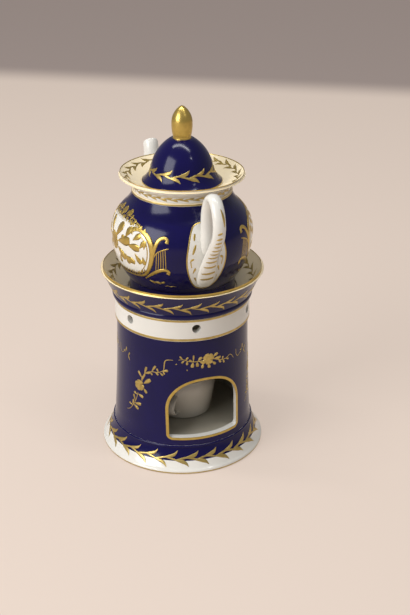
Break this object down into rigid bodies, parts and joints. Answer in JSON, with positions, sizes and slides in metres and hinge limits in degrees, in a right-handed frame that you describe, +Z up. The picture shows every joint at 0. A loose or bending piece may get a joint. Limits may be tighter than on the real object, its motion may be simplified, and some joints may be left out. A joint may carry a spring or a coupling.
{
  "type": "veilleuse",
  "caption": "Porcelain night-light tea warmer: a lidded pot with spout and ear handle sits in the flared dish of a hollow stand with a fire door, air holes and a lamp cup.",
  "frame": {"origin": "centre of the foot's resting plane", "axes": "+Z up the axis the pieces are turned on, -Y towards the fire door and the pot's handle, +Y towards the spout"},
  "size_m": [0.108, 0.1318, 0.2275],
  "materials": {
    "cobalt_glaze": "deep cobalt blue under a clear gloss glaze, with burnished gilding",
    "white_glaze": "warm white porcelain under a clear gloss glaze",
    "gilding": "burnished gold leaf and gold paint on glaze",
    "cork": "cut cork",
    "tinplate": "dull tinned sheet",
    "wick_cotton": "braided waxed cotton"
  },
  "bodies": {
    "stand": {"stand_foot": "white_glaze", "stand_barrel": "cobalt_glaze", "stand_floor": "white_glaze", "stand_collar": "cobalt_glaze"},
    "godet": {"godet_cup": "white_glaze", "godet_handle": "white_glaze"},
    "night_light": {"float_cork": "cork", "float_plate": "tinplate", "float_wick": "wick_cotton"},
    "pot": {"pot_foot": "cobalt_glaze", "pot_body": "cobalt_glaze", "pot_neck": "white_glaze", "pot_spout": "white_glaze", "pot_handle": "white_glaze"},
    "lid": {"lid_dome": "cobalt_glaze", "lid_flange": "white_glaze", "lid_finial": "gilding"}
  },
  "joints": [
    {"name": "pot_lift", "type": "slide", "parent": "stand", "child": "pot", "axis": [0, 0, 1], "range_m": [0, 0.06]},
    {"name": "lid_lift", "type": "slide", "parent": "pot", "child": "lid", "axis": [0, 0, 1], "range_m": [0, 0.04]},
    {"name": "godet_draw", "type": "slide", "parent": "stand", "child": "godet", "axis": [0, -0.9935, 0.1142], "range_m": [0, 0.07]},
    {"name": "float_lift", "type": "slide", "parent": "godet", "child": "night_light", "axis": [0, 0, 1], "range_m": [0, 0.02]}
  ]
}
